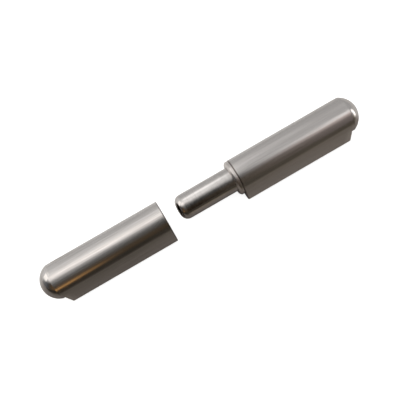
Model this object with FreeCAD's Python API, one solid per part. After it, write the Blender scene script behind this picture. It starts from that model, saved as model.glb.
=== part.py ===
import FreeCAD, Part

import math
import os

# A lift-off weld-on barrel hinge, 20 mm across and about 150 mm long when closed.
# Two lengths of drop-shaped steel bar, a hinge pin and a thrust washer.
# The socket half lies drawn off the pin, as in the photograph.
# Millimetres. X runs along the hinge axis and +Z is up from the surface the hinge lies on.
# The weld lips point toward -Y.

# Drop-shaped bar that both halves are cut from
barrelDiameter = 20.0
lipIncludedAngle = 80.0
lipStandOut = 3.9
lipEdgeRound = 0.6

# The two halves
socketHalfLength = 74.5
pinHalfLength = 74.5
mouthChamfer = 0.3

# Turned ends
socketDomeExtraRadius = 0.4
pinDomeExtraRadius = 0.9
turnedLength = 8.45
turnedSkim = 0.05
shoulderAngle = 31.5
shoulderHollow = 0.25

# Hinge pin
pinDiameter = 14.0
pinStandOut = 36.0
pinPressedLength = 30.0
pinEndDomeRadius = 20.0
pinEndEdgeRound = 3.2
pinPressedChamfer = 0.8

# Bores
runningClearance = 0.05
socketBoreEndPlay = 4.0
pressedBoreEndPlay = 0.5
boreMouthChamfer = 0.5
drillPointAngle = 118.0

# Thrust washer
washerThickness = 2.8
washerStepIn = 0.15
washerEdgeChamfer = 0.35
washerBoreChamfer = 0.3

# How far cutting shapes run past the metal they cut
overrun = 1.0

# Distance between the pin's rounded end and the mouth of the drawn-off socket half
drawnOffGap = 7.6

# Derived sizes shared by several pieces
barrelRadius = barrelDiameter / 2
lipReach = barrelRadius + lipStandOut
socketDomeRadius = barrelRadius + socketDomeExtraRadius
pinDomeRadius = barrelRadius + pinDomeExtraRadius
lipHalfAngle = math.radians(lipIncludedAngle / 2)
turnedRadius = barrelRadius - turnedSkim
pinRadius = pinDiameter / 2
runningBoreRadius = pinRadius + runningClearance
socketBoreDepth = pinStandOut - washerThickness + socketBoreEndPlay
pressedBoreDepth = pinPressedLength + pressedBoreEndPlay

# Directions round the axis, as angles in the Y-Z plane
hiddenFaceNormal = math.radians(-90)
lipDirection = math.pi + lipHalfAngle
seenFaceNormal = 2 * lipDirection - math.radians(270)

# Place of the hinge in the shared frame: the box round it is centred on the origin and stands on Z = 0
restLength = socketHalfLength + drawnOffGap + pinStandOut + pinHalfLength
pinMouthX = restLength / 2 - pinHalfLength
socketMouthX = pinMouthX - pinStandOut - drawnOffGap


def at(angle, distance):
    """A point of the profile plane, given by its angle and distance from the axis"""
    return FreeCAD.Vector(0, distance * math.cos(angle), distance * math.sin(angle))


def roundingCentre(before, corner, after, radius):
    """Centre of the arc that rounds a corner between two straight sides"""
    back = (before - corner).normalize()
    ahead = (after - corner).normalize()
    bisector = (back + ahead).normalize()
    return corner + bisector * (radius / math.sin(back.getAngle(ahead) / 2))


def roundedCorner(before, corner, after, radius):
    """Start, middle and end of the arc that rounds a corner between two straight sides"""
    back = (before - corner).normalize()
    ahead = (after - corner).normalize()
    centre = roundingCentre(before, corner, after, radius)
    along = radius / math.tan(back.getAngle(ahead) / 2)
    outward = (corner - centre).normalize()
    return corner + back * along, centre + outward * radius, corner + ahead * along


def lipTip():
    """The lip's blunt tip: tangent points of the two flat faces and the two corners between them"""
    apexDistance = barrelRadius / math.sin(lipHalfAngle)
    halfWidth = (apexDistance - lipReach) * math.tan(lipHalfAngle)
    centre = at(lipDirection, lipReach)
    across = at(lipDirection - math.radians(90), 1.0)
    seenTangent = at(seenFaceNormal, barrelRadius)
    hiddenTangent = at(hiddenFaceNormal, barrelRadius)
    return seenTangent, centre + across * halfWidth, centre - across * halfWidth, hiddenTangent


def frontReach():
    """How far the rounded lip stands out toward -Y from the axis"""
    seenTangent, seenCorner, hiddenCorner, hiddenTangent = lipTip()
    return lipEdgeRound - roundingCentre(seenTangent, seenCorner, hiddenCorner, lipEdgeRound).y


def dropOutline():
    """Closed outline of the drawn bar: a round back and two flat faces that run on to a blunt lip"""
    seenTangent, seenCorner, hiddenCorner, hiddenTangent = lipTip()
    upper = roundedCorner(seenTangent, seenCorner, hiddenCorner, lipEdgeRound)
    lower = roundedCorner(seenCorner, hiddenCorner, hiddenTangent, lipEdgeRound)
    backOfBarrel = at((seenFaceNormal + hiddenFaceNormal) / 2, barrelRadius)
    sides = [
        Part.Arc(hiddenTangent, backOfBarrel, seenTangent),
        Part.LineSegment(seenTangent, upper[0]),
        Part.Arc(*upper),
        Part.LineSegment(upper[2], lower[0]),
        Part.Arc(*lower),
        Part.LineSegment(lower[2], hiddenTangent),
    ]
    return Part.Wire([side.toShape() for side in sides])


def dropBar(length):
    """A length of the drawn bar from its mouth at X = 0, with the mouth's outer edge chamfered"""
    bar = Part.Face(dropOutline()).extrude(FreeCAD.Vector(length, 0, 0))
    mouthEdges = [edge for edge in bar.Edges if edge.BoundBox.XMax < 0.001]
    return bar.makeChamfer(mouthChamfer, mouthEdges)


def turnedSolid(points):
    """A solid of revolution about X from (x, radius) points; a pair of points is an arc's middle and end"""
    edges = []
    last = None
    for item in points:
        if isinstance(item[0], tuple):
            middle = FreeCAD.Vector(item[0][0], item[0][1], 0)
            end = FreeCAD.Vector(item[1][0], item[1][1], 0)
            edges.append(Part.Arc(last, middle, end).toShape())
        else:
            end = FreeCAD.Vector(item[0], item[1], 0)
            if last is not None:
                edges.append(Part.LineSegment(last, end).toShape())
        last = end
    first = edges[0].Vertexes[0].Point
    edges.append(Part.LineSegment(last, first).toShape())
    face = Part.Face(Part.Wire(edges))
    return face.revolve(FreeCAD.Vector(0, 0, 0), FreeCAD.Vector(1, 0, 0), 360)


def turnedEnvelope(length, domeRadius):
    """What the lathe leaves: the bar, a hollow shoulder on the lip, a short round neck and the dome"""
    outer = lipReach + overrun
    neckStart = length - turnedLength
    rise = outer - turnedRadius
    run = rise * math.tan(math.radians(shoulderAngle))
    slope = math.hypot(rise, run)
    shoulderMiddle = (
        neckStart - run / 2 - shoulderHollow * rise / slope,
        turnedRadius + rise / 2 - shoulderHollow * run / slope,
    )
    centre = length - domeRadius
    creaseAngle = math.asin(turnedRadius / domeRadius)
    crease = centre + domeRadius * math.cos(creaseAngle)
    half = creaseAngle / 2
    domeMiddle = (centre + domeRadius * math.cos(half), domeRadius * math.sin(half))
    return turnedSolid([
        (-overrun, 0.0),
        (-overrun, outer),
        (neckStart - run, outer),
        (shoulderMiddle, (neckStart, turnedRadius)),
        (crease, turnedRadius),
        (domeMiddle, (length, 0.0)),
    ])


def blindBore(radius, depth):
    """A drilled hole from the mouth at X = 0, with a chamfered mouth and a drill point at its end"""
    point = radius / math.tan(math.radians(drillPointAngle / 2))
    return turnedSolid([
        (-overrun, 0.0),
        (-overrun, radius + boreMouthChamfer + overrun),
        (boreMouthChamfer, radius),
        (depth, radius),
        (depth + point, 0.0),
    ])


def barrel(length, domeRadius, boreRadius, boreDepth):
    """One half of the hinge, mouth at X = 0 and dome toward +X"""
    turned = dropBar(length + overrun).common(turnedEnvelope(length, domeRadius))
    return turned.cut(blindBore(boreRadius, boreDepth))


def hingePin():
    """The ground pin: free end domed and well rounded toward -X, pressed end chamfered toward +X"""
    meeting = math.asin((pinRadius - pinEndEdgeRound) / (pinEndDomeRadius - pinEndEdgeRound))
    tip = -pinStandOut
    edgeStart = tip + pinEndDomeRadius * (1 - math.cos(meeting))
    edgeEnd = edgeStart + pinEndEdgeRound * math.cos(meeting)
    half = meeting / 2
    middle = (meeting + math.radians(90)) / 2
    domeMiddle = (tip + pinEndDomeRadius * (1 - math.cos(half)), pinEndDomeRadius * math.sin(half))
    edgeMiddle = (
        edgeEnd - pinEndEdgeRound * math.cos(middle),
        pinRadius - pinEndEdgeRound + pinEndEdgeRound * math.sin(middle),
    )
    return turnedSolid([
        (tip, 0.0),
        (domeMiddle, (edgeStart, pinEndDomeRadius * math.sin(meeting))),
        (edgeMiddle, (edgeEnd, pinRadius)),
        (pinPressedLength - pinPressedChamfer, pinRadius),
        (pinPressedLength, pinRadius - pinPressedChamfer),
        (pinPressedLength, 0.0),
    ])


def thrustWasher():
    """The washer on the pin, its back against the pin half's mouth at X = 0"""
    outer = barrelRadius - washerStepIn
    near = -washerThickness
    bore = runningBoreRadius
    return turnedSolid([
        (near + washerBoreChamfer, bore),
        (near, bore + washerBoreChamfer),
        (near, outer - washerEdgeChamfer),
        (near + washerEdgeChamfer, outer),
        (-washerEdgeChamfer, outer),
        (0.0, outer - washerEdgeChamfer),
        (0.0, bore + washerBoreChamfer),
        (-washerBoreChamfer, bore),
    ])


def placed(shape, x):
    """A shape built on the X axis, moved to its place along the hinge and up on to the surface"""
    moved = shape.copy()
    moved.translate(FreeCAD.Vector(x, (frontReach() - barrelRadius) / 2, barrelRadius))
    return moved


def facingBack(shape):
    """The same shape with its mouth turned to face +X, the lip kept on its side"""
    return shape.mirror(FreeCAD.Vector(0, 0, 0), FreeCAD.Vector(1, 0, 0))


socketHalf = barrel(socketHalfLength, socketDomeRadius, runningBoreRadius, socketBoreDepth)
pinHalf = barrel(pinHalfLength, pinDomeRadius, pinRadius, pressedBoreDepth)

pieces = {
    "socket_half_barrel": placed(facingBack(socketHalf), socketMouthX),
    "pin_half_barrel": placed(pinHalf, pinMouthX),
    "hinge_pin": placed(hingePin(), pinMouthX),
    "thrust_washer": placed(thrustWasher(), pinMouthX),
}

os.makedirs("parts", exist_ok=True)
for name, shape in pieces.items():
    shape.exportStep("parts/" + name + ".step")
    box = shape.optimalBoundingBox()
    print(name, shape.isValid(), len(shape.Solids), round(shape.Volume, 1))
    print("  x", round(box.XMin, 3), round(box.XMax, 3), "y", round(box.YMin, 3), round(box.YMax, 3))
    print("  z", round(box.ZMin, 3), round(box.ZMax, 3))
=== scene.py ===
import math
from functools import partial

import bmesh
import bpy
import numpy as np
from mathutils import Matrix, Vector


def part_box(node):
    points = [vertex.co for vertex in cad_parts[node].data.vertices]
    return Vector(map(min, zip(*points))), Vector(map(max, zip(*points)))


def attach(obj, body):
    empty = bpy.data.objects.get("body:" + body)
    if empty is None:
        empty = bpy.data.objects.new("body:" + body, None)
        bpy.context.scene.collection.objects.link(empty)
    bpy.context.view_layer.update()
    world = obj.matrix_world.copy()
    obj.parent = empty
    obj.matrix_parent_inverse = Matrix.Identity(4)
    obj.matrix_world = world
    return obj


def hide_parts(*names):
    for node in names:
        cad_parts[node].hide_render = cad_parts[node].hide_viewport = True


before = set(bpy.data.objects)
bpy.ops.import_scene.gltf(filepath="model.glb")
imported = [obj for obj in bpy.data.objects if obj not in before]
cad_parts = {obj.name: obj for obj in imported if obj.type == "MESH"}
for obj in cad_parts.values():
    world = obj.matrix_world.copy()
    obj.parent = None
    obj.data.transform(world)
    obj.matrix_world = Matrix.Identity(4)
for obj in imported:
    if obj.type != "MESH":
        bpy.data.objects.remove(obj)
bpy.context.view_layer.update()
scene = bpy.context.scene
mm = 0.001

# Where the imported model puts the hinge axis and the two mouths, in millimetres
pinLow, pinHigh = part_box("hinge_pin")
axisY, axisZ = ((pinLow[i] + pinHigh[i]) / 2 / mm for i in (1, 2))
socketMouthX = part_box("socket_half_barrel")[1][0] / mm
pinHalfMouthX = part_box("pin_half_barrel")[0][0] / mm


def linearColour(hexText):
    # sRGB hex to the linear values that shaders take
    values = [int(hexText[i:i + 2], 16) / 255 for i in (1, 3, 5)]
    return tuple(v / 12.92 if v <= 0.04045 else ((v + 0.055) / 1.055) ** 2.4 for v in values) + (1.0,)


plainWhite = linearColour("#FFFFFF")


def addNode(tree, kind, links=None, inputs=None, **settings):
    # Adds a node, sets its properties, its input values and the sockets that feed it
    node = tree.nodes.new(kind)
    for name, value in settings.items():
        setattr(node, name, value)
    for key, value in (inputs or {}).items():
        node.inputs[key].default_value = value
    for key, socket in (links or {}).items():
        tree.links.new(socket, node.inputs[key])
    return node


def newMaterial(name):
    # An empty node material, and the call that adds a node to it
    material = bpy.data.materials.new(name)
    material.use_nodes = True
    tree = material.node_tree
    tree.nodes.clear()
    return material, partial(addNode, tree)


def fillRamp(node, stops):
    # Puts (position, colour) stops on a colour ramp
    ramp = node.color_ramp
    while len(ramp.elements) < len(stops):
        ramp.elements.new(0.5)
    for element, (position, colour) in zip(ramp.elements, stops):
        element.position = position
        element.color = colour


# Camera: where the photograph was taken from, worked out from the sizes of both halves. Degrees, millimetres
# and photo pixels.
camera = {
    "focalPixels": 658.12, "imagePixels": 400.0, "sensor": 36.0,
    "elevation": 58.0, "turn": 2.653, "roll": 0.083, "tilt": 30.1,
    "distance": 351.15, "aimAlong": 42.870, "aimAcross": -1.949, "nearClip": 10.0,
}


def placeCamera(c):
    elevation = math.radians(c["elevation"])
    turn, roll, tilt = (math.radians(c[key]) for key in ("turn", "roll", "tilt"))
    along = Vector((1, 0, 0))
    up = Vector((0, -math.cos(elevation), math.sin(elevation)))
    down = Vector((0, -math.sin(elevation), -math.cos(elevation)))
    look = math.sin(turn) * along - math.cos(turn) * up
    right = math.cos(turn) * along + math.sin(turn) * up
    axisAlong = math.cos(roll) * right - math.sin(roll) * down
    axisAcross = math.sin(roll) * right + math.cos(roll) * down
    imageRight = math.cos(tilt) * axisAlong + math.sin(tilt) * axisAcross
    imageDown = -math.sin(tilt) * axisAlong + math.cos(tilt) * axisAcross
    perPixel = c["distance"] / c["focalPixels"]
    place = Vector((pinHalfMouthX, axisY, axisZ)) - c["distance"] * look
    place -= c["aimAlong"] * perPixel * axisAlong + c["aimAcross"] * perPixel * axisAcross
    data = bpy.data.cameras.new("photoCamera")
    data.sensor_width = c["sensor"]
    data.lens = c["focalPixels"] * c["sensor"] / c["imagePixels"]
    data.clip_start = c["nearClip"] * mm
    cameraObject = bpy.data.objects.new("photoCamera", data)
    scene.collection.objects.link(cameraObject)
    columns = (imageRight, -imageDown, -look)
    rows = [[columns[j][i] for j in range(3)] + [place[i] * mm] for i in range(3)]
    cameraObject.matrix_world = Matrix(rows + [[0, 0, 0, 1]])
    scene.camera = cameraObject


# Studio floor and lamp: pale paper, with painted shade in front of the object as far as the metal can see.
# The pivots and their angles bound the lit paper beside each end; the tones of the painted shade fade along
# X and with Y.
studio = {
    "floorSize": 6000.0, "floorDrop": 0.3, "floorColour": "#EAE9E7", "floorCameraGlow": 0.8,
    "litTone": 1.0, "leftPivot": (-92.0, -2.0), "leftFrom": -78.0, "leftTo": -150.0, "leftLit": 1.0,
    "rightPivot": (86.0, 6.0), "rightFrom": 50.0, "rightTo": 76.0, "rightLit": 0.84,
    "frontY": 0.0, "backY": 14.0, "behindFrom": 99.0, "behindTo": 80.0,
    "farTones": (0.05, 0.13), "nearTones": (0.31, 0.42), "farTint": "#FFF0D8", "nearTint": "#FFF6F0",
    "nearY": -12.0, "farY": -36.0, "toneLeftX": -50.0, "toneRightX": 70.0,
    "gapPaintedLight": 0.34, "gapX": 4.0, "gapHalfWidth": 30.0, "gapSoft": 22.0,
    "gapFarY": -60.0, "gapNearY": -26.0,
    "lampPower": 1.3, "lampSize": 500.0, "lampPlace": (-160.0, 150.0, 620.0),
}

# The room as the metal sees it, as (angle, tone, tint). Overhead the angles are heights over the hinge:
# 0 in front, 90 overhead, 180 behind. On the walls they are turns round the upright, -90 to the left.
# The left, pin, middle and right parts share the room by the direction's X, from a "From" to a "To".
brown, paleBrown, pink, white, warmWhite = "#FFDBAF", "#FFEBD2", "#FFEFEA", "#FFFFFF", "#FFFCFA"
room = {
    "diffuse": 0.62, "brightest": 2.0,
    "overLeft": (
        (0, 0.05, brown), (20, 0.062, brown), (30, 0.072, paleBrown), (46, 0.135, white),
        (58, 0.26, white), (68, 0.5, white), (77, 1.12, "#FFFDFB"), (86, 1.55, warmWhite),
        (95, 1.4, warmWhite), (106, 1.12, "#FFFEFD"), (116, 0.97, white), (125, 0.84, white),
        (148, 0.63, white), (180, 0.57, white),
    ),
    "overPin": (
        (0, 0.015, brown), (20, 0.022, brown), (32, 0.034, paleBrown), (44, 0.052, white),
        (52, 0.085, white), (60, 0.24, white), (68, 0.6, white), (77, 0.92, white), (86, 1.04, white),
        (95, 1.18, white), (110, 1.16, white), (125, 0.85, white), (148, 0.63, white), (180, 0.57, white),
    ),
    "overMiddle": (
        (0, 0.09, paleBrown), (30, 0.085, paleBrown), (42, 0.115, "#FFF8F0"), (50, 0.165, white),
        (58, 0.28, white), (66, 0.46, white), (75, 0.64, white), (98, 0.6, white), (115, 0.78, white),
        (122, 0.76, white), (138, 0.64, white), (154, 0.55, white), (180, 0.5, white),
    ),
    "overRight": (
        (0, 0.14, pink), (22, 0.17, pink), (34, 0.24, pink), (44, 0.45, pink), (52, 0.85, pink),
        (57, 1.32, white), (64, 1.32, white), (69, 0.8, white), (74, 0.52, white), (92, 0.56, white),
        (120, 0.6, white), (180, 0.54, white),
    ),
    "pinFrom": -0.015, "pinTo": 0.015, "middleFrom": 0.09, "middleTo": 0.112,
    "rightFrom": 0.12, "rightTo": 0.29,
    "shadeX": 0.014, "shadeHalfWidth": 0.045, "shadeSoft": 0.034,
    "shadeFrom": 88.0, "shadeTo": 70.0, "shadeDepth": 0.46,
    "walls": (
        (-180, 0.75, white), (-150, 0.8, white), (-132, 0.86, white), (-121, 0.7, white),
        (-112, 0.34, white), (-102, 0.2, white), (-90, 0.14, "#F2F6FF"), (-80, 0.085, "#F8F9FF"),
        (-68, 0.06, paleBrown), (-45, 0.08, "#FFC98C"), (0, 0.1, paleBrown), (58, 0.2, pink),
        (72, 0.45, white), (95, 0.51, white), (180, 0.5, white),
    ),
    "wallFrontFrom": 30.0, "wallFrontTo": 50.0, "wallBackFrom": 160.0, "wallBackTo": 174.0,
    "wallTopFrom": 24.0, "wallTopTo": 60.0,
}

# Soft boxes and a card that only the metal sees: centre, the point faced, turn about that line,
# size across and up, how much of the half width is soft edge, strength and colour
cards = {
    "leftWindow": {
        "centre": (-520.0, 285.0, 450.0), "aim": (-90.0, 0.0, 10.0), "turn": -35.0,
        "size": (540.0, 760.0), "soft": 0.5, "strength": 1.6, "colour": "#FFFDFA",
    },
    "rightStrip": {
        "centre": (135.0, -13.0, 14.0), "aim": (93.0, -5.0, 14.0), "turn": 20.0,
        "size": (17.0, 42.0), "soft": 0.85, "strength": 2.6, "colour": "#FFFDFC",
    },
    "rightWindow": {
        "centre": (430.0, -50.0, 60.0), "aim": (22.0, -5.0, 8.0), "turn": 0.0,
        "size": (110.0, 120.0), "soft": 0.6, "strength": 1.5, "colour": "#FFFDFC",
    },
    "backSoftBox": {
        "centre": (22.0, 195.0, 430.0), "aim": (22.0, 0.0, 10.0), "turn": 0.0,
        "size": (120.0, 320.0), "soft": 0.75, "strength": 1.55, "colour": "#FFFFFF",
    },
    "warmCard": {
        "centre": (-120.0, -95.0, 25.0), "aim": (-172.0, -10.0, 25.0), "turn": 0.0,
        "size": (172.0, 30.0), "soft": 1.0, "strength": 0.8, "colour": "#FFC27A",
    },
}


def cardMaterial(name, card):
    # A card with soft edges, so its reflection fades out as a diffuser's does
    material, add = newMaterial(name)
    uv = add("ShaderNodeUVMap", uv_map="card")
    parts = add("ShaderNodeSeparateXYZ", {"Vector": uv.outputs["UV"]})
    masks = []
    for side in ("X", "Y"):
        fromMiddle = add("ShaderNodeMath", {0: parts.outputs[side]}, {1: 0.5}, operation="SUBTRACT")
        distance = add("ShaderNodeMath", {0: fromMiddle.outputs[0]}, operation="ABSOLUTE")
        masks.append(add(
            "ShaderNodeMapRange", {"Value": distance.outputs[0]},
            {"From Min": 0.5, "From Max": 0.5 - 0.5 * card["soft"], "To Min": 0.0, "To Max": 1.0},
            interpolation_type="SMOOTHERSTEP",
        ))
    both = add("ShaderNodeMath", {0: masks[0].outputs[0], 1: masks[1].outputs[0]}, operation="MULTIPLY")
    glow = add("ShaderNodeEmission", inputs={
        "Color": linearColour(card["colour"]), "Strength": card["strength"],
    })
    clear = add("ShaderNodeBsdfTransparent")
    mix = add("ShaderNodeMixShader", {0: both.outputs[0], 1: clear.outputs[0], 2: glow.outputs[0]})
    add("ShaderNodeOutputMaterial", {"Surface": mix.outputs[0]})
    return material


def addCard(name, card):
    centre, aim = Vector(card["centre"]), Vector(card["aim"])
    facing = (aim - centre).normalized()
    steep = abs(facing.z) > 0.7  # faces up or down so much that its own up comes from Y
    upHint = Vector((0, 1, 0)) if steep else Vector((0, 0, 1))
    across = upHint.cross(facing).normalized()
    up = facing.cross(across).normalized()
    spin = Matrix.Rotation(math.radians(card["turn"]), 3, facing)
    across, up = spin @ across, spin @ up
    halfWide, halfHigh = card["size"][0] / 2, card["size"][1] / 2
    corners = [(-1, -1), (1, -1), (1, 1), (-1, 1)]
    points = [(centre + across * (a * halfWide) + up * (b * halfHigh)) * mm for a, b in corners]
    mesh = bpy.data.meshes.new(name)
    mesh.from_pydata(points, [], [(0, 1, 2, 3)])
    uv = mesh.uv_layers.new(name="card")
    for corner, (a, b) in zip(uv.data, corners):
        corner.uv = ((a + 1) / 2, (b + 1) / 2)
    mesh.materials.append(cardMaterial(name, card))
    cardObject = bpy.data.objects.new(name, mesh)
    scene.collection.objects.link(cardObject)
    for ray in ("camera", "diffuse", "shadow", "transmission"):
        setattr(cardObject, "visible_" + ray, False)


def metalRay(add, rays):
    # 1 for rays that come off or through the object, 0 for the camera's own
    return add(
        "ShaderNodeMath",
        {0: rays.outputs["Is Glossy Ray"], 1: rays.outputs["Is Transmission Ray"]}, operation="MAXIMUM",
    ).outputs[0]


def smoothMask(add, value, start, end, top=1.0):
    # Rises smoothly from 0 between two values
    return add(
        "ShaderNodeMapRange", {"Value": value}, {"From Min": start, "From Max": end, "To Max": top},
        interpolation_type="SMOOTHSTEP",
    ).outputs[0]


def floorMaterial(s):
    # Seamless pale paper: white to the camera, with the contact shadow; the metal sees painted shade on it
    # in front
    material, add = newMaterial("seamless pale paper")
    place = add("ShaderNodeTexCoord").outputs["Object"]
    parts = add("ShaderNodeSeparateXYZ", {"Vector": place}).outputs
    lit = smoothMask(add, parts["Y"], s["frontY"] * mm, s["backY"] * mm)
    fromMiddle = add("ShaderNodeMath", {0: parts["X"]}, operation="ABSOLUTE").outputs[0]
    behind = smoothMask(add, fromMiddle, s["behindFrom"] * mm, s["behindTo"] * mm)
    lit = add("ShaderNodeMath", {0: lit, 1: behind}, operation="MULTIPLY").outputs[0]
    for side in ("left", "right"):
        x, y = s[side + "Pivot"]
        across = add("ShaderNodeMath", {0: parts["X"]}, {1: -x * mm}, operation="ADD")
        forward = add("ShaderNodeMath", {1: parts["Y"]}, {0: y * mm}, operation="SUBTRACT")
        angle = add("ShaderNodeMath", {0: across.outputs[0], 1: forward.outputs[0]}, operation="ARCTAN2")
        ends = (math.radians(s[side + end]) for end in ("From", "To"))
        beside = smoothMask(add, angle.outputs[0], *ends, s[side + "Lit"])
        lit = add("ShaderNodeMath", {0: lit, 1: beside}, operation="MAXIMUM").outputs[0]
    tones = [add(
        "ShaderNodeMapRange", {"Value": parts["X"]},
        {"From Min": s["toneLeftX"] * mm, "From Max": s["toneRightX"] * mm,
         "To Min": s[key][0], "To Max": s[key][1]},
    ).outputs[0] for key in ("farTones", "nearTones")]
    reach = add(
        "ShaderNodeMapRange", {"Value": parts["Y"]},
        {"From Min": s["farY"] * mm, "From Max": s["nearY"] * mm},
    ).outputs[0]
    paintedShade = add("ShaderNodeMapRange", {"Value": reach, "To Min": tones[0], "To Max": tones[1]}).outputs[0]
    paintedShadeTint = add(
        "ShaderNodeMixRGB", {"Fac": reach},
        {"Color1": linearColour(s["farTint"]), "Color2": linearColour(s["nearTint"])},
    )
    # A painted pool of light brightens the paper in front of the pin, where light would come through under
    # it
    fromGap = add("ShaderNodeMath", {0: parts["X"]}, {1: -s["gapX"] * mm}, operation="ADD")
    fromGap = add("ShaderNodeMath", {0: fromGap.outputs[0]}, operation="ABSOLUTE").outputs[0]
    inGap = smoothMask(add, fromGap, s["gapHalfWidth"] * mm, (s["gapHalfWidth"] - s["gapSoft"]) * mm)
    inReach = smoothMask(add, parts["Y"], s["gapFarY"] * mm, s["gapNearY"] * mm)
    gap = add("ShaderNodeMath", {0: inGap, 1: inReach}, operation="MULTIPLY").outputs[0]
    gap = add("ShaderNodeMath", {0: gap}, {1: s["gapPaintedLight"]}, operation="MULTIPLY").outputs[0]
    paintedShade = add("ShaderNodeMath", {0: paintedShade, 1: gap}, operation="MAXIMUM").outputs[0]
    seen = add("ShaderNodeMapRange", {"Value": lit, "To Min": paintedShade}, {"To Max": s["litTone"]})
    tint = add("ShaderNodeMixRGB", {"Fac": lit, "Color1": paintedShadeTint.outputs[0]}, {"Color2": plainWhite})
    forMetal = add(
        "ShaderNodeVectorMath", {0: tint.outputs[0], "Scale": seen.outputs[0]}, operation="SCALE",
    )
    rays = add("ShaderNodeLightPath")
    tone = add(
        "ShaderNodeMixRGB", {"Fac": metalRay(add, rays), "Color2": forMetal.outputs["Vector"]},
        {"Color1": plainWhite},
    )
    colour = add(
        "ShaderNodeVectorMath", {0: tone.outputs[0]}, {1: linearColour(s["floorColour"])[:3]},
        operation="MULTIPLY",
    )
    paper = add("ShaderNodeBsdfDiffuse", {"Color": colour.outputs["Vector"]})
    forCamera = add(
        "ShaderNodeMath", {0: rays.outputs["Is Camera Ray"]}, {1: s["floorCameraGlow"]},
        operation="MULTIPLY",
    )
    glow = add("ShaderNodeEmission", {"Strength": forCamera.outputs[0]})
    both = add("ShaderNodeAddShader", {0: paper.outputs[0], 1: glow.outputs[0]})
    add("ShaderNodeOutputMaterial", {"Surface": both.outputs[0]})
    return material


def toneRamp(add, value, stops, first, last, brightest):
    # A ramp of tinted tones over a range of angles, with each tint's green kept at the tone that is given
    place = add(
        "ShaderNodeMapRange", {"Value": value},
        {"From Min": math.radians(first), "From Max": math.radians(last)},
    )
    ramp = add("ShaderNodeValToRGB", {"Fac": place.outputs[0]})
    colours = []
    for angle, tone, tint in stops:
        red, green, blue = linearColour(tint)[:3]
        colour = tuple(tone / brightest * part / green for part in (red, green, blue))
        colours.append(((angle - first) / (last - first), colour + (1.0,)))
    fillRamp(ramp, colours)
    return ramp.outputs["Color"]


def buildRoom(r):
    world = bpy.data.worlds.new("pale room")
    scene.world = world
    world.use_nodes = True
    tree = world.node_tree
    tree.nodes.clear()
    add = partial(addNode, tree)
    place = add("ShaderNodeTexCoord")
    direction = add("ShaderNodeSeparateXYZ", {"Vector": place.outputs["Generated"]}).outputs
    # Angles over the hinge and round the upright, both from -Y, where the camera stands
    forward = add("ShaderNodeMath", {0: direction["Y"]}, {1: -1.0}, operation="MULTIPLY").outputs[0]
    over = add("ShaderNodeMath", {0: direction["Z"], 1: forward}, operation="ARCTAN2").outputs[0]
    turn = add("ShaderNodeMath", {0: direction["X"], 1: forward}, operation="ARCTAN2").outputs[0]
    away = add("ShaderNodeMath", {0: turn}, operation="ABSOLUTE").outputs[0]
    height = add("ShaderNodeMath", {0: direction["Z"]}, operation="ARCSINE").outputs[0]
    colour = toneRamp(add, over, r["overLeft"], 0, 180, r["brightest"])
    for part in ("pin", "middle", "right"):
        across = add(
            "ShaderNodeMapRange", {"Value": direction["X"]},
            {"From Min": r[part + "From"], "From Max": r[part + "To"]},
        )
        side = toneRamp(add, over, r["over" + part.capitalize()], 0, 180, r["brightest"])
        colour = add(
            "ShaderNodeMixRGB", {"Fac": across.outputs[0], "Color1": colour, "Color2": side},
        ).outputs[0]
    # The photographer stands in front of the pin, a dark upright that hides some of the light from it
    fromShade = add("ShaderNodeMath", {0: direction["X"]}, {1: -r["shadeX"]}, operation="ADD").outputs[0]
    fromShade = add("ShaderNodeMath", {0: fromShade}, operation="ABSOLUTE").outputs[0]
    inShade = smoothMask(add, fromShade, r["shadeHalfWidth"], r["shadeHalfWidth"] - r["shadeSoft"])
    under = smoothMask(add, over, *(math.radians(r[key]) for key in ("shadeFrom", "shadeTo")))
    shade = add("ShaderNodeMath", {0: inShade, 1: under}, operation="MULTIPLY").outputs[0]
    kept = add("ShaderNodeMapRange", {"Value": shade}, {"To Min": 1.0, "To Max": 1.0 - r["shadeDepth"]})
    colour = add(
        "ShaderNodeVectorMath", {0: colour, "Scale": kept.outputs[0]}, operation="SCALE",
    ).outputs["Vector"]
    wall = smoothMask(add, height, *(math.radians(r[key]) for key in ("wallTopTo", "wallTopFrom")))
    for start, end in (("wallFrontFrom", "wallFrontTo"), ("wallBackTo", "wallBackFrom")):
        mask = smoothMask(add, away, math.radians(r[start]), math.radians(r[end]))
        wall = add("ShaderNodeMath", {0: wall, 1: mask}, operation="MULTIPLY").outputs[0]
    walls = toneRamp(add, turn, r["walls"], -180, 180, r["brightest"])
    colour = add("ShaderNodeMixRGB", {"Fac": wall, "Color1": colour, "Color2": walls}).outputs[0]
    rays = add("ShaderNodeLightPath")
    metal = metalRay(add, rays)
    tint = add("ShaderNodeMixRGB", {"Fac": metal, "Color2": colour}, {"Color1": plainWhite})
    strength = add(
        "ShaderNodeMapRange", {"Value": metal}, {"To Min": r["diffuse"], "To Max": r["brightest"]},
    )
    strength = add(
        "ShaderNodeMapRange", {"Value": rays.outputs["Is Camera Ray"], "To Min": strength.outputs[0]},
        {"To Max": 1.0},
    )
    background = add("ShaderNodeBackground", {"Color": tint.outputs[0], "Strength": strength.outputs[0]})
    add("ShaderNodeOutputWorld", {"Surface": background.outputs[0]})


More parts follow.
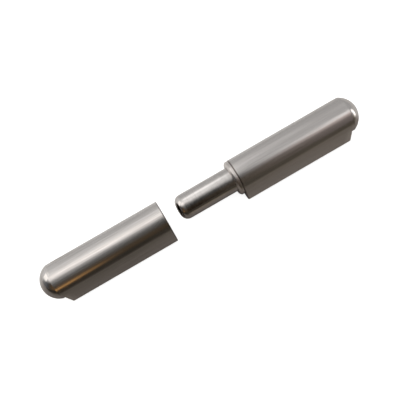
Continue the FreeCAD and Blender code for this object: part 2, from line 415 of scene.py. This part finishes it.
def buildStudio(s):
    half = s["floorSize"] / 2 * mm
    drop = -s["floorDrop"] * mm
    mesh = bpy.data.meshes.new("studioFloor")
    corners = [(-half, -half, drop), (half, -half, drop), (half, half, drop), (-half, half, drop)]
    mesh.from_pydata(corners, [], [(0, 1, 2, 3)])
    mesh.materials.append(floorMaterial(s))
    floor = bpy.data.objects.new("studioFloor", mesh)
    scene.collection.objects.link(floor)
    data = bpy.data.lights.new("softLamp", "AREA")
    data.shape = "SQUARE"
    data.size = s["lampSize"] * mm
    data.energy = s["lampPower"]
    lamp = bpy.data.objects.new("softLamp", data)
    scene.collection.objects.link(lamp)
    lamp.location = Vector(s["lampPlace"]) * mm
    lamp.rotation_euler = (-Vector(s["lampPlace"])).to_track_quat("-Z", "Y").to_euler()
    lamp.visible_glossy = False


print("camera and studio")
scene.view_settings.view_transform = "Standard"
placeCamera(camera)
buildStudio(studio)
buildRoom(room)
for cardName, card in cards.items():
    addCard(cardName, card)


# Both halves: drop-shaped drawn bar, one end turned to a neck and a dome, the other bored. Millimetres.
bar = {
    "radius": 10.0, "lipAngle": 80.0, "lipStandOut": 3.9, "lipRound": 0.6, "mouthRound": 0.3,
    "turnedRadius": 9.95, "turnedLength": 8.45, "shoulderAngle": 31.5, "shoulderHollow": 0.25,
    "shoulderCutReach": 14.9, "shoulderEdgeRound": 0.12, "creaseRound": 0.14, "neckFillet": 0.2,
    "roundShare": 0.4, "boreMouth": 0.5, "drillPoint": 118.0, "mouthShadeAndRingsReach": 0.05,
}
barMesh = {
    "backStep": 1.6, "flatSteps": 14, "roundSteps": 7, "tipSteps": 5, "drillSteps": 8, "boreSteps": 12,
    "mouthSteps": 6, "mouthRoundSteps": 4, "bodySteps": 14, "shoulderSteps": 7, "domeSteps": 39,
    "edgeSteps": 3, "creaseSteps": 4, "creaseAhead": 3,
}
socketHalf = {
    "length": 74.5, "domeRadius": 10.4, "boreRadius": 7.05, "boreDepth": 37.2,
    "mouthX": socketMouthX, "facing": -1,
}
pinHalf = {
    "length": 74.5, "domeRadius": 10.9, "boreRadius": 7.0, "boreDepth": 30.5,
    "mouthX": pinHalfMouthX, "facing": 1,
}


def unit(angle):
    return np.array([math.cos(angle), math.sin(angle)])


def arcPoints(centre, radius, first, last, steps):
    return [np.array(centre) + radius * unit(first + (last - first) * i / steps) for i in range(steps + 1)]


def roundCorner(before, corner, after, radius, steps):
    # The arc that rounds a corner between two straight runs of a profile
    before, corner, after = (np.array(p, float) for p in (before, corner, after))
    back = (before - corner) / np.linalg.norm(before - corner)
    ahead = (after - corner) / np.linalg.norm(after - corner)
    opening = math.acos(float(back @ ahead))
    middle = (back + ahead) / np.linalg.norm(back + ahead)
    centre = corner + middle * radius / math.sin(opening / 2)
    start = corner + back * radius / math.tan(opening / 2) - centre
    turn = math.copysign(math.pi - opening, back[1] * ahead[0] - back[0] * ahead[1])
    first = math.atan2(start[1], start[0])
    return arcPoints(centre, radius, first, first + turn, steps)


def barOutline(b, m):
    # Points round the drop shape, each with the way its surface faces, from under the axis up over the back
    half = math.radians(b["lipAngle"] / 2)
    lip = math.pi + half
    hidden, seen = math.radians(-90), 2 * lip - math.radians(270)
    reach = b["radius"] + b["lipStandOut"]
    steps = round(math.degrees(seen - hidden) / m["backStep"])
    line = []
    for i in range(steps + 1):
        angle = hidden + (seen - hidden) * i / steps
        line.append((b["radius"] * unit(angle), angle))

    def straightTo(end, angle, count):
        start = line[-1][0]
        line.extend((start + (end - start) * i / count, angle) for i in range(1, count))

    def roundTo(first, last):
        # Rounding centre: in from the flat and from the blunt tip by the rounding radius
        flat = first if last == lip else last
        inset = [b["radius"] - b["lipRound"], reach - b["lipRound"]]
        centre = np.linalg.solve(np.array([unit(flat), unit(lip)]), inset)
        angles = np.linspace(first, last, m["roundSteps"] + 1)
        return [(centre + b["lipRound"] * unit(angle), angle) for angle in angles]

    seenRound, hiddenRound = roundTo(seen, lip), roundTo(lip, hidden + 2 * math.pi)
    straightTo(seenRound[0][0], seen, m["flatSteps"])
    line += seenRound
    straightTo(hiddenRound[0][0], lip, m["tipSteps"])
    line += hiddenRound
    straightTo(line[0][0], hidden, m["flatSteps"])
    return line


def shoulderArc(b, length):
    # The circle of the turning tool's hollow shoulder, through both its ends and the hollow's middle
    neck = length - b["turnedLength"]
    rise = b["shoulderCutReach"] - b["turnedRadius"]
    run = rise * math.tan(math.radians(b["shoulderAngle"]))
    first = np.array([neck - run, b["shoulderCutReach"]])
    last = np.array([neck, b["turnedRadius"]])
    middle = (first + last) / 2 - b["shoulderHollow"] * np.array([rise, run]) / math.hypot(rise, run)
    sides = [middle @ middle - first @ first, last @ last - first @ first]
    centre = np.linalg.solve(np.array([2 * (middle - first), 2 * (last - first)]), sides)
    return centre, np.linalg.norm(first - centre)


def barrelColumn(b, m, h, point, facing, arcCentre, arcRadius):
    # One lengthwise line: from the bore's bottom round the mouth, along the bar and on to the dome's pole
    reach = math.hypot(*point)
    outward = point / reach
    length, neck, bore = h["length"], h["length"] - b["turnedLength"], h["boreRadius"]
    drill = bore / math.tan(math.radians(b["drillPoint"] / 2))
    rows = []

    def put(x, across, zone, edge=0.0):
        rows.append((x, across[0], across[1], zone, edge))

    for i in range(m["drillSteps"] + 1):
        f = i / m["drillSteps"]
        put(h["boreDepth"] + drill * (1 - f), outward * bore * f, "bore")
    for i in range(1, m["boreSteps"] + 1):
        f = i / m["boreSteps"]
        put(h["boreDepth"] * (1 - f) + b["boreMouth"] * f, outward * bore, "bore")
    for f in (0.5, 1.0):
        put(b["boreMouth"] * (1 - f), outward * (bore + b["boreMouth"] * f), "mouthFace", 1.0)
    inner = outward * (bore + b["boreMouth"])
    edge = point - b["mouthRound"] * unit(facing)
    for i in range(1, m["mouthSteps"] + 1):
        put(0.0, inner + (edge - inner) * i / m["mouthSteps"], "mouthFace")
    for i in range(1, m["mouthRoundSteps"] + 1):
        turn = math.pi / 2 * i / m["mouthRoundSteps"]
        across = edge + b["mouthRound"] * math.sin(turn) * unit(facing)
        put(b["mouthRound"] * (1 - math.cos(turn)), across, "mouthFace")
    # Where the hollow shoulder cuts this line of the bar; the hollow's centre lies beyond the neck
    shoulderX = arcCentre[0] - math.sqrt(arcRadius ** 2 - (reach - arcCentre[1]) ** 2)
    # A row close behind the rounding ends the mouth face's painted shade and its turned rings there
    put(b["mouthRound"] + b["mouthShadeAndRingsReach"], point, "drawn")
    for i in range(1, m["bodySteps"] + 1):
        f = i / (m["bodySteps"] + 1)
        put(b["mouthRound"] + (shoulderX - b["mouthRound"]) * f, point, "drawn")
    # Down the hollow shoulder, along the neck and over the dome, at this line's angle round the axis
    top, bottom = np.array([shoulderX, reach]), np.array([neck, b["turnedRadius"]])
    fromArc, toArc = top - arcCentre, bottom - arcCentre
    first, last = (math.atan2(v[1], v[0]) for v in (fromArc, toArc))
    last += 2 * math.pi * round((first - last) / (2 * math.pi))
    shoulder = arcPoints(arcCentre, arcRadius, first, last, m["shoulderSteps"])
    domeCentre = length - h["domeRadius"]
    creaseAngle = math.asin(b["turnedRadius"] / h["domeRadius"])
    dome = arcPoints((domeCentre, 0.0), h["domeRadius"], creaseAngle, 0.0, m["domeSteps"])
    crease = (dome[0][0], b["turnedRadius"])
    body = (b["mouthRound"], reach)
    topRound = min(b["shoulderEdgeRound"], b["roundShare"] * np.linalg.norm(shoulder[1] - top))
    neckRound = min(b["neckFillet"], b["roundShare"] * np.linalg.norm(shoulder[-2] - bottom))
    # On the round back the shoulder is only a skim cut, so its edge gets no painted highlight there
    stands = min(max((reach - b["radius"]) / b["lipRound"], 0.0), 1.0)
    cut = "turned" if stands > 0 else "drawn"
    for p in roundCorner(body, top, shoulder[1], topRound, m["edgeSteps"]):
        put(p[0], outward * p[1], cut, stands)
    for p in shoulder[1:-1]:
        put(p[0], outward * p[1], cut)
    for p in roundCorner(shoulder[-2], bottom, crease, neckRound, m["edgeSteps"]):
        put(p[0], outward * p[1], "drawn")
    creaseArc = roundCorner(bottom, crease, dome[m["creaseAhead"]], b["creaseRound"], m["creaseSteps"])
    for i, p in enumerate(creaseArc):
        put(p[0], outward * p[1], "turned" if i > m["creaseSteps"] / 2 else "drawn")
    for p in dome[1:]:
        put(p[0], outward * p[1], "turned")
    return rows


def barrelMesh(name, columns, h):
    # Joins the lengthwise lines into one closed skin, with a single point at each pole
    grid = np.array([[row[:3] for row in column] for column in columns])
    steps = np.linalg.norm(np.diff(grid, axis=1), axis=2)[:, ::-1]
    along = np.concatenate([np.zeros((len(grid), 1)), np.cumsum(steps, axis=1)], axis=1)[:, ::-1]
    grid[:, :, 0] = h["mouthX"] + h["facing"] * grid[:, :, 0]
    grid += (0.0, axisY, axisZ)

    def flat(values):
        between = values[:, 1:-1].reshape(-1, *values.shape[2:])
        return np.concatenate([values[:1, 0], between, values[:1, -1]])

    vertices = flat(grid) * mm
    width, last = grid.shape[1] - 2, len(vertices) - 1
    faces = []
    for i in range(len(grid)):
        a, b = 1 + i * width, 1 + (i + 1) % len(grid) * width
        faces += [(0, a, b), (a + width - 1, last, b + width - 1)]
        faces += [(a + k, a + k + 1, b + k + 1, b + k) for k in range(width - 1)]
    mesh = bpy.data.meshes.new(name)
    mesh.from_pydata(vertices.tolist(), [], faces)
    zones = np.array([[row[3] for row in column] for column in columns])
    edges = np.array([[row[4] for row in column] for column in columns])
    values = {"alongProfile": along, "edge": edges}
    values.update({zone: (zones == zone) * 1.0 for zone in ("turned", "bore", "mouthFace")})
    for key, grids in values.items():
        attribute = mesh.attributes.new(key, "FLOAT", "POINT")
        attribute.data.foreach_set("value", flat(grids).astype(np.float32))
    return mesh


def finishPiece(name, mesh, material, body, node):
    # Turns the faces outward, shades them smooth with the flats kept flat, and gives the piece its body
    skin = bmesh.new()
    skin.from_mesh(mesh)
    bmesh.ops.recalc_face_normals(skin, faces=skin.faces)
    skin.to_mesh(mesh)
    skin.free()
    mesh.materials.clear()
    mesh.materials.append(material)
    mesh.shade_smooth()
    piece = bpy.data.objects.new(name, mesh)
    scene.collection.objects.link(piece)
    piece.modifiers.new("flat faces stay flat", "WEIGHTED_NORMAL")
    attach(piece, body)
    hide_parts(node)


def makeBarrel(name, b, m, h, material, body, node):
    arcCentre, arcRadius = shoulderArc(b, h["length"])
    columns = [
        barrelColumn(b, m, h, point, facing, arcCentre, arcRadius) for point, facing in barOutline(b, m)
    ]
    finishPiece(name, barrelMesh(name, columns, h), material, body, node)


# Pin and washer: profiles of (x, radius) from the pin half's mouth, swept round the axis. Millimetres.
# The washer is 0.01 thinner than the solid, so that the seated socket half touches it without cutting in.
pin = {
    "radius": 7.0, "standOut": 36.0, "pressedLength": 30.0, "endDomeRadius": 20.0, "endEdgeRound": 4.3,
    "pressedChamfer": 0.8, "chamferRound": 0.15,
}
washer = {
    "outerRadius": 9.85, "boreRadius": 7.05, "thickness": 2.79, "frontChamfer": 1.0, "backChamfer": 0.35,
    "edgeRound": 0.3, "boreChamfer": 0.3, "cornerRound": 0.12,
}
lathe = {
    "segments": 168, "arcSteps": 12, "bodySteps": 24, "faceSteps": 4, "edgeSteps": 5, "cornerSteps": 3,
    "mergeDistance": 0.002,
}


def runTo(points, end, steps):
    # Steps between the last point of a profile and the point it runs straight to
    start = points[-1]
    return [start + (end - start) * i / steps for i in range(1, steps)]


def pinProfile(p, m):
    # From the free end's pole, over its round edge, along the ground body to the pressed end
    edge, dome, radius = p["endEdgeRound"], p["endDomeRadius"], p["radius"]
    meeting = math.asin((radius - edge) / (dome - edge))
    tip = -p["standOut"]
    edgeX = tip + dome - (dome - edge) * math.cos(meeting)
    points = arcPoints((tip + dome, 0.0), dome, math.pi, math.pi - meeting, m["arcSteps"])
    points += arcPoints((edgeX, radius - edge), edge, math.pi - meeting, math.pi / 2, m["arcSteps"])[1:]
    end, chamfer = p["pressedLength"], p["pressedChamfer"]
    corner, endCorner, pole = (end - chamfer, radius), (end, radius - chamfer), np.array([end, 0.0])
    ends = roundCorner(points[-1], corner, endCorner, p["chamferRound"], m["cornerSteps"])
    points += runTo(points, ends[0], m["bodySteps"]) + ends
    points += roundCorner(corner, endCorner, pole, p["chamferRound"], m["cornerSteps"])
    return points + runTo(points, pole, m["faceSteps"]) + [pole]


def washerProfile(w, m):
    # Once round the washer's section, from the bore's chamfer out over the near face and back, closed
    near, outer, bore = -w["thickness"], w["outerRadius"], w["boreRadius"]
    front, back, inner = w["frontChamfer"], w["backChamfer"], w["boreChamfer"]
    corners = [
        (near + inner, bore), (near, bore + inner), (near, outer - front), (near + front, outer),
        (-back, outer), (0.0, outer - back), (0.0, bore + inner), (-inner, bore),
    ]
    frontEdge = (2, 3)
    points = []
    for i, corner in enumerate(corners):
        kind = "edge" if i in frontEdge else "corner"
        before, after = corners[i - 1], corners[(i + 1) % len(corners)]
        ends = roundCorner(before, corner, after, w[kind + "Round"], m[kind + "Steps"])
        points += (runTo(points, ends[0], m["faceSteps"]) if points else []) + ends
    return points + runTo(points, points[0], m["faceSteps"]) + [points[0]]


def latheTree(m):
    # Geometry nodes that turn a line of profile points into a skin of revolution round the hinge axis
    tree = bpy.data.node_groups.new("turnedRoundAxis", "GeometryNodeTree")
    kinds = (
        ("Profile", "NodeSocketGeometry"), ("Segments", "NodeSocketInt"), ("Mouth X", "NodeSocketFloat"),
        ("Axis Y", "NodeSocketFloat"), ("Axis Z", "NodeSocketFloat"), ("Material", "NodeSocketMaterial"),
    )
    for name, kind in kinds:
        tree.interface.new_socket(name=name, in_out="INPUT", socket_type=kind)
    tree.interface.new_socket(name="Turned", in_out="OUTPUT", socket_type="NodeSocketGeometry")
    add = partial(addNode, tree)
    start = add("NodeGroupInput").outputs
    size = add("GeometryNodeAttributeDomainSize", {"Geometry": start["Profile"]}, component="MESH")
    count = size.outputs["Point Count"]
    columns = add("ShaderNodeMath", {0: start["Segments"]}, {1: 1.0}, operation="ADD")
    grid = add(
        "GeometryNodeMeshGrid", {"Vertices X": count, "Vertices Y": columns.outputs[0]},
        {"Size X": 1.0, "Size Y": 1.0},
    )
    place = add("GeometryNodeInputPosition")
    parts = add("ShaderNodeSeparateXYZ", {"Vector": place.outputs[0]})
    along = add("ShaderNodeMath", {0: parts.outputs["X"]}, {1: 0.5}, operation="ADD")
    last = add("ShaderNodeMath", {0: count}, {1: 1.0}, operation="SUBTRACT")
    exact = add("ShaderNodeMath", {0: along.outputs[0], 1: last.outputs[0]}, operation="MULTIPLY")
    index = add("ShaderNodeMath", {0: exact.outputs[0]}, operation="ROUND")
    around = add("ShaderNodeMath", {0: parts.outputs["Y"]}, {1: 0.5}, operation="ADD")
    angle = add("ShaderNodeMath", {0: around.outputs[0]}, {1: 2 * math.pi}, operation="MULTIPLY")
    profilePlace = add("GeometryNodeInputPosition")
    point = add(
        "GeometryNodeSampleIndex",
        {"Geometry": start["Profile"], "Value": profilePlace.outputs[0], "Index": index.outputs[0]},
        data_type="FLOAT_VECTOR",
    )
    profile = add("ShaderNodeSeparateXYZ", {"Vector": point.outputs["Value"]})
    sideways = []
    for operation, axis in (("COSINE", "Axis Y"), ("SINE", "Axis Z")):
        wave = add("ShaderNodeMath", {0: angle.outputs[0]}, operation=operation)
        sideways.append(add(
            "ShaderNodeMath", {0: wave.outputs[0], 1: profile.outputs["Y"], 2: start[axis]},
            operation="MULTIPLY_ADD",
        ).outputs[0])
    lengthwise = add("ShaderNodeMath", {0: profile.outputs["X"], 1: start["Mouth X"]}, operation="ADD")
    turned = add(
        "ShaderNodeCombineXYZ", {"X": lengthwise.outputs[0], "Y": sideways[0], "Z": sideways[1]},
    )
    named = add("GeometryNodeInputNamedAttribute", inputs={"Name": "alongProfile"}, data_type="FLOAT")
    distance = add(
        "GeometryNodeSampleIndex",
        {"Geometry": start["Profile"], "Value": named.outputs[0], "Index": index.outputs[0]},
        data_type="FLOAT",
    )
    marked = add(
        "GeometryNodeStoreNamedAttribute", {"Geometry": grid.outputs["Mesh"], "Value": distance.outputs[0]},
        {"Name": "alongProfile"}, data_type="FLOAT", domain="POINT",
    )
    swept = add(
        "GeometryNodeSetPosition", {"Geometry": marked.outputs[0], "Position": turned.outputs[0]},
    )
    closed = add(
        "GeometryNodeMergeByDistance", {"Geometry": swept.outputs[0]},
        {"Distance": m["mergeDistance"] * mm},
    )
    smooth = add("GeometryNodeSetShadeSmooth", {"Geometry": closed.outputs[0]})
    real = add("GeometryNodeRealizeInstances", {"Geometry": smooth.outputs[0]})
    finished = add(
        "GeometryNodeSetMaterial", {"Geometry": real.outputs[0], "Material": start["Material"]},
    )
    add("NodeGroupOutput", {"Turned": finished.outputs[0]})
    return tree


def turnedMesh(name, tree, profile, segments, material):
    # Runs the lathe tree on one profile and keeps its result as a plain mesh
    points = np.array(profile)
    along = np.concatenate([[0.0], np.cumsum(np.linalg.norm(np.diff(points, axis=0), axis=1))])
    line = bpy.data.meshes.new(name + "Profile")
    edges = [(i, i + 1) for i in range(len(points) - 1)]
    line.from_pydata([(x * mm, r * mm, 0.0) for x, r in points], edges, [])
    attribute = line.attributes.new("alongProfile", "FLOAT", "POINT")
    attribute.data.foreach_set("value", along.astype(np.float32))
    blank = bpy.data.objects.new(name + "Blank", line)
    scene.collection.objects.link(blank)
    modifier = blank.modifiers.new("turned", "NODES")
    modifier.node_group = tree
    values = {
        "Segments": segments, "Mouth X": pinHalfMouthX * mm, "Axis Y": axisY * mm, "Axis Z": axisZ * mm,
        "Material": material,
    }
    for item in tree.interface.items_tree:
        if item.in_out == "INPUT" and item.name in values:
            modifier[item.identifier] = values[item.name]
    graph = bpy.context.evaluated_depsgraph_get()
    mesh = bpy.data.meshes.new_from_object(blank.evaluated_get(graph))
    mesh.name = name
    blank.modifiers.remove(modifier)
    bpy.data.objects.remove(blank)
    return mesh


# Drawn stainless bar, satin from the die, with its end turned bright on the lathe. Real die lines and tool
# rings are under 0.1 mm apart; here they are drawn coarser, or they would only shimmer.
drawnBar = {
    "light": "#D7D3D0", "dark": "#C0BBB7", "toneRange": (0.3, 0.7),
    # The bore's colour is painted shade for the recess, and the mouth's colour is painted shade for the
    # joint
    "edgePaintedHighlight": "#E3DFDC", "borePaintedShade": "#9A928B", "mouthPaintedShade": "#8E8783",
    "roughness": 0.165, "turnedRoughness": 0.12, "boreRoughness": 0.34, "edgeRoughness": 0.14,
    "anisotropy": 0.8, "ringWidth": 0.34, "ringDetail": 2.0, "ringDepth": 0.0005,
    "streakWidth": 0.4, "streakLength": 22.0, "streakDetail": 3.0, "streakFall": 0.6, "streakDepth": 0.0026,
    "cloudSize": 7.0, "cloudDetail": 3.0, "cloudFall": 0.55, "cloudRange": (0.3, 0.7),
    "cloudRoughness": 0.04,
}
# The pin half's streaks are fainter, and its surface is a little softer and paler
pinHalfBar = dict(drawnBar, roughness=0.18, dark="#C6C1BD", streakDepth=0.0018)


def steelNoise(add, v):
    # What both kinds of steel share: fine rings round the axis, and clouds that make the gloss uneven
    place = add("ShaderNodeTexCoord").outputs["Object"]
    profile = add("ShaderNodeAttribute", attribute_name="alongProfile").outputs["Fac"]
    rings = add(
        "ShaderNodeTexNoise", {"W": profile}, {"Scale": 1 / v["ringWidth"], "Detail": v["ringDetail"]},
        noise_dimensions="1D",
    ).outputs["Fac"]
    clouds = add("ShaderNodeTexNoise", {"Vector": place}, {
        "Scale": 1 / (v["cloudSize"] * mm), "Detail": v["cloudDetail"], "Roughness": v["cloudFall"],
    }).outputs["Fac"]
    low, high = v["cloudRange"]
    spread = v["cloudRoughness"] / 2
    rough = add("ShaderNodeMapRange", {"Value": clouds}, {
        "From Min": low, "From Max": high,
        "To Min": v["roughness"] - spread, "To Max": v["roughness"] + spread,
    }).outputs[0]
    return {"place": place, "rings": rings, "clouds": clouds, "rough": rough}


def steelTone(add, v, marks):
    # The steel's own colour, a little lighter and darker with its marks
    tone = add("ShaderNodeValToRGB", {"Fac": marks})
    low, high = v["toneRange"]
    fillRamp(tone, [(low, linearColour(v["dark"])), (high, linearColour(v["light"]))])
    return tone.outputs[0]


def markDirections(add):
    # Marks spread light across themselves: lengthwise streaks round the bar, rings along it
    facing = add("ShaderNodeNewGeometry").outputs["Normal"]
    around = add("ShaderNodeVectorMath", {1: facing}, {0: (1, 0, 0)}, operation="CROSS_PRODUCT").outputs[0]
    lengthwise = add("ShaderNodeVectorMath", {0: around, 1: facing}, operation="CROSS_PRODUCT").outputs[0]
    return around, lengthwise


def finishSteel(add, v, colour, rough, bump, tangent):
    # Bare metal, with the highlight drawn out along the tangent it is given
    steel = add(
        "ShaderNodeBsdfPrincipled",
        {"Base Color": colour, "Roughness": rough, "Normal": bump.outputs[0], "Tangent": tangent},
        {"Metallic": 1.0, "Anisotropic": v["anisotropy"]},
    )
    add("ShaderNodeOutputMaterial", {"Surface": steel.outputs[0]})


def drawnBarMaterial(name, v):
    # Faint long streaks from the die soften the highlight across the bar; fine rings show the lathe's work
    material, add = newMaterial(name)
    noise = steelNoise(add, v)
    across, along = (1 / (v[key] * mm) for key in ("streakWidth", "streakLength"))
    stretched = add("ShaderNodeMapping", {"Vector": noise["place"]}, {"Scale": (along, across, across)})
    streaks = add("ShaderNodeTexNoise", {"Vector": stretched.outputs[0]}, {
        "Scale": 1.0, "Detail": v["streakDetail"], "Roughness": v["streakFall"],
    })
    zone = {
        key: add("ShaderNodeAttribute", attribute_name=key).outputs["Fac"]
        for key in ("turned", "bore", "mouthFace", "edge")
    }
    machined = zone["turned"]
    for key in ("mouthFace", "bore"):
        machined = add("ShaderNodeMath", {0: machined, 1: zone[key]}, operation="MAXIMUM").outputs[0]
    marks = add(
        "ShaderNodeMix", {"Factor": machined, "A": streaks.outputs["Fac"], "B": noise["rings"]},
    ).outputs[0]
    colour = steelTone(add, v, marks)
    # Painted highlight on the shoulder's standing edge, painted shade in the bore and on the mouth's face
    for key, shade in (("edge", "edgePaintedHighlight"), ("bore", "borePaintedShade"), ("mouthFace", "mouthPaintedShade")):
        colour = add(
            "ShaderNodeMixRGB", {"Fac": zone[key], "Color1": colour}, {"Color2": linearColour(v[shade])},
        ).outputs[0]
    rough = noise["rough"]
    for key in ("turned", "bore", "edge"):
        rough = add(
            "ShaderNodeMix", {"Factor": zone[key], "A": rough}, {"B": v[key + "Roughness"]},
        ).outputs[0]
    depth = add("ShaderNodeMapRange", {"Value": machined}, {
        "To Min": v["streakDepth"] * mm, "To Max": v["ringDepth"] * mm,
    })
    bump = add("ShaderNodeBump", {"Height": marks, "Distance": depth.outputs[0]})
    around, lengthwise = markDirections(add)
    tangent = add("ShaderNodeMixRGB", {"Fac": machined, "Color1": around, "Color2": lengthwise}).outputs[0]
    finishSteel(add, v, colour, rough, bump, tangent)
    return material


# Ground and turned steel: what differs between the pin and the washer. Their rings are drawn coarser too.
groundPin = {
    "light": "#D8D4D1", "dark": "#BAB5B1", "toneRange": (0.35, 0.65), "roughness": 0.13, "anisotropy": 0.3,
    "ringWidth": 0.3, "ringDetail": 3.0, "ringDepth": 0.0004, "cloudShare": 0.35, "wearDepth": 0.012,
    "cloudSize": 3.0, "cloudDetail": 4.0, "cloudFall": 0.6, "cloudRange": (0.3, 0.7),
    "cloudRoughness": 0.06,
}
turnedWasher = dict(
    groundPin, light="#E2DCD8", dark="#CCC5C0", roughness=0.25, anisotropy=0.4, ringWidth=0.24,
    ringDepth=0.0015, wearDepth=0.004, cloudRoughness=0.05,
)


def ringedSteelMaterial(name, v):
    # Fine rings round the axis, left by the grinding wheel or the turning tool, and faint cloudy wear
    material, add = newMaterial(name)
    noise = steelNoise(add, v)
    marks = add(
        "ShaderNodeMix", {"A": noise["rings"], "B": noise["clouds"]}, {"Factor": v["cloudShare"]},
    ).outputs[0]
    worn = add("ShaderNodeBump", {"Height": noise["clouds"]}, {"Distance": v["wearDepth"] * mm})
    bump = add(
        "ShaderNodeBump", {"Height": noise["rings"], "Normal": worn.outputs[0]},
        {"Distance": v["ringDepth"] * mm},
    )
    lengthwise = markDirections(add)[1]
    finishSteel(add, v, steelTone(add, v, marks), noise["rough"], bump, lengthwise)
    return material


print("barrels")
makeBarrel(
    "socketHalfBarrel", bar, barMesh, socketHalf,
    drawnBarMaterial("drawn stainless bar, socket half", drawnBar),
    "socket_half", "socket_half_barrel",
)
makeBarrel(
    "pinHalfBarrel", bar, barMesh, pinHalf,
    drawnBarMaterial("drawn stainless bar, pin half", pinHalfBar),
    "pin_half", "pin_half_barrel",
)

print("pin and washer")
turnedTree = latheTree(lathe)
pinSteel = ringedSteelMaterial("centreless ground stainless pin", groundPin)
pinMesh = turnedMesh("hingePin", turnedTree, pinProfile(pin, lathe), lathe["segments"], pinSteel)
finishPiece("hingePin", pinMesh, pinSteel, "pin_half", "hinge_pin")
washerSteel = ringedSteelMaterial("turned stainless washer", turnedWasher)
washerLine = washerProfile(washer, lathe)
washerMesh = turnedMesh("thrustWasher", turnedTree, washerLine, lathe["segments"], washerSteel)
finishPiece("thrustWasher", washerMesh, washerSteel, "washer", "thrust_washer")

print("done")
